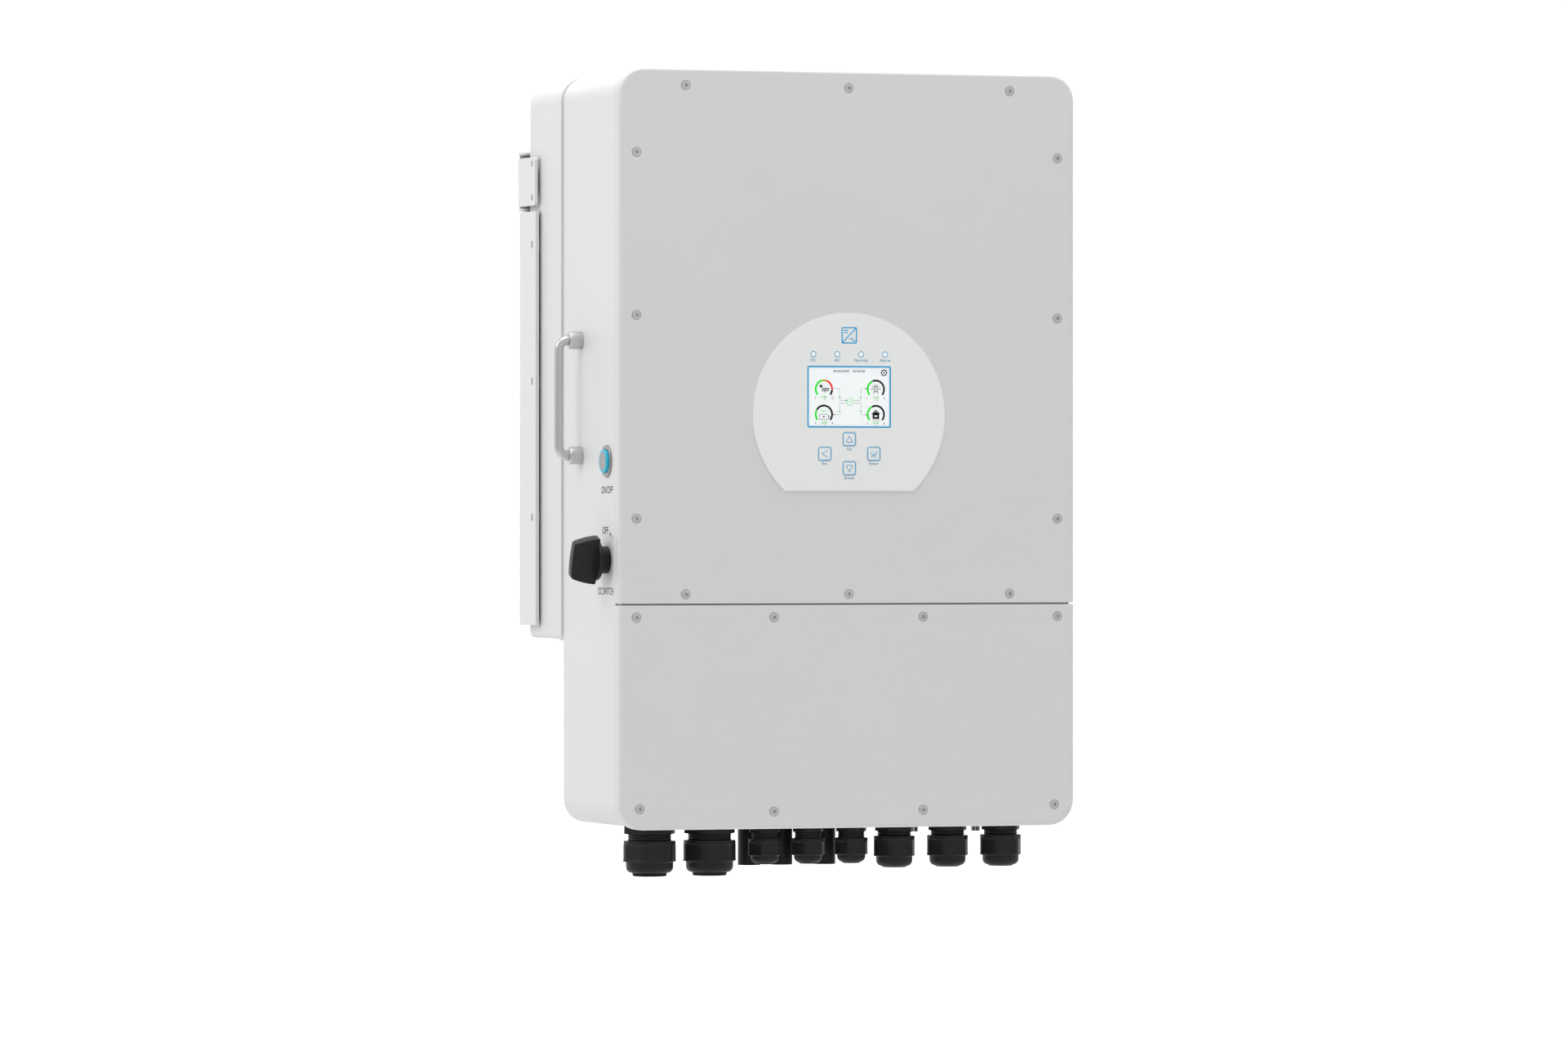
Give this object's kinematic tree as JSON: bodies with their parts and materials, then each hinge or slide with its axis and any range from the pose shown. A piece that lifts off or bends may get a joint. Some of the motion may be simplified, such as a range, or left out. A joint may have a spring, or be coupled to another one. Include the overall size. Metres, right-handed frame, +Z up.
{
  "type": "string inverter",
  "caption": "Wall-hung hybrid string inverter: white metal case, display and keys, side isolator knob and button, handles, rear heat sink, cable glands.",
  "frame": {"origin": "centre of the wall bracket's hole pattern, on the wall plane", "axes": "+X to the right seen from the front, +Y into the wall, +Z up"},
  "size_m": [0.46, 0.261, 0.6788],
  "materials": {
    "case_paint": "fine satin powder coat, off-white",
    "cover_paint": "fine satin powder coat, light grey-white",
    "gasket_rubber": "closed-cell foam rubber",
    "screw_steel": "stainless steel",
    "zinc_sheet": "zinc-plated sheet",
    "sink_aluminium": "extruded, clear anodised",
    "fan_plastic": "moulded, black",
    "overlay_film": "printed matt polyester film",
    "window_clear": "clear hard-coated window",
    "screen": "white liquid crystal panel",
    "lamp_pipe": "clear moulded light pipe",
    "board": "glass-fibre board with solder resist",
    "brass": "turned brass",
    "button_metal": "satin stainless steel",
    "button_ring": "lit cyan ring",
    "spring_steel": "bright drawn steel",
    "isolator_plastic": "moulded black thermoplastic",
    "handle_metal": "satin anodised",
    "gland_nylon": "moulded black nylon",
    "gland_rubber": "moulded rubber",
    "capacitor_sleeve": "shrink sleeve",
    "inductor_can": "drawn can with potted coil",
    "module_epoxy": "moulded epoxy",
    "terminal_plastic": "moulded terminal block"
  },
  "bodies": {
    "enclosure": {"housing": "case_paint", "upper_cover": "cover_paint", "lower_cover": "cover_paint", "upper_gasket": "gasket_rubber", "lower_gasket": "gasket_rubber", "upper_cover_screws": "screw_steel", "lower_cover_screws": "screw_steel", "divider_plate": "zinc_sheet", "heat_sink": "sink_aluminium", "rear_shroud": "case_paint", "rear_shroud_screws": "screw_steel", "back_plate": "case_paint", "hang_hooks": "zinc_sheet", "rear_fixing_screws": "screw_steel", "wall_bracket": "case_paint", "fan_frames": "fan_plastic", "display_overlay": "overlay_film", "display_window": "window_clear", "display_module": "screen", "display_board": "board", "board_standoffs": "brass", "light_pipes": "lamp_pipe", "power_button_bezel": "button_metal", "power_button_nut": "button_metal", "power_button_spring": "spring_steel", "isolator_body": "isolator_plastic", "isolator_collar": "isolator_plastic", "handle_left": "handle_metal", "handle_right": "handle_metal", "handle_ferrules": "handle_metal", "handle_screws": "screw_steel", "large_gland_bodies": "gland_nylon", "large_gland_nuts": "gland_nylon", "large_gland_seals": "gland_rubber", "medium_gland_bodies": "gland_nylon", "medium_gland_nuts": "gland_nylon", "medium_gland_seals": "gland_rubber", "small_gland_bodies": "gland_nylon", "small_gland_nuts": "gland_nylon", "small_gland_seals": "gland_rubber", "gland_locknuts": "gland_nylon", "pv_sockets": "gland_nylon", "logger_port": "gland_nylon", "earth_bolts": "screw_steel", "power_board": "board", "control_board": "board", "bus_capacitors": "capacitor_sleeve", "inductors": "inductor_can", "power_modules": "module_epoxy", "terminal_blocks": "terminal_plastic"},
    "isolator_switch": {"isolator_knob": "isolator_plastic", "isolator_shaft": "spring_steel"},
    "power_button": {"power_button_cap": "button_metal", "power_button_ring": "button_ring"},
    "key_up_button": {"key_up": "overlay_film"},
    "key_down_button": {"key_down": "overlay_film"},
    "key_esc_button": {"key_esc": "overlay_film"},
    "key_enter_button": {"key_enter": "overlay_film"},
    "fan_left": {"fan_rotor_left": "fan_plastic"},
    "fan_right": {"fan_rotor_right": "fan_plastic"}
  },
  "joints": [
    {"name": "isolator_turn", "type": "hinge", "parent": "enclosure", "child": "isolator_switch", "pos_m": [-0.202, -0.2215, -0.325], "axis": [1, 0, 0], "range_deg": [0, 90]},
    {"name": "power_button_press", "type": "slide", "parent": "enclosure", "child": "power_button", "axis": [1, 0, 0], "range_m": [0, 0.0025], "stiffness_N_per_m": 800, "springref_m": -0.0025, "deforming": ["power_button_spring"]},
    {"name": "key_up_press", "type": "slide", "parent": "enclosure", "child": "key_up_button", "axis": [0, 1, 0], "range_m": [0, 0.0005], "stiffness_N_per_m": 1500, "springref_m": -0.0006},
    {"name": "key_down_press", "type": "slide", "parent": "enclosure", "child": "key_down_button", "axis": [0, 1, 0], "range_m": [0, 0.0005], "stiffness_N_per_m": 1500, "springref_m": -0.0006},
    {"name": "key_esc_press", "type": "slide", "parent": "enclosure", "child": "key_esc_button", "axis": [0, 1, 0], "range_m": [0, 0.0005], "stiffness_N_per_m": 1500, "springref_m": -0.0006},
    {"name": "key_enter_press", "type": "slide", "parent": "enclosure", "child": "key_enter_button", "axis": [0, 1, 0], "range_m": [0, 0.0005], "stiffness_N_per_m": 1500, "springref_m": -0.0006},
    {"name": "fan_left_spin", "type": "hinge", "parent": "enclosure", "child": "fan_left", "pos_m": [-0.09, -0.06, -0.379], "axis": [0, 0, 1], "continuous": true},
    {"name": "fan_right_spin", "type": "hinge", "parent": "enclosure", "child": "fan_right", "pos_m": [0.09, -0.06, -0.379], "axis": [0, 0, 1], "continuous": true}
  ]
}
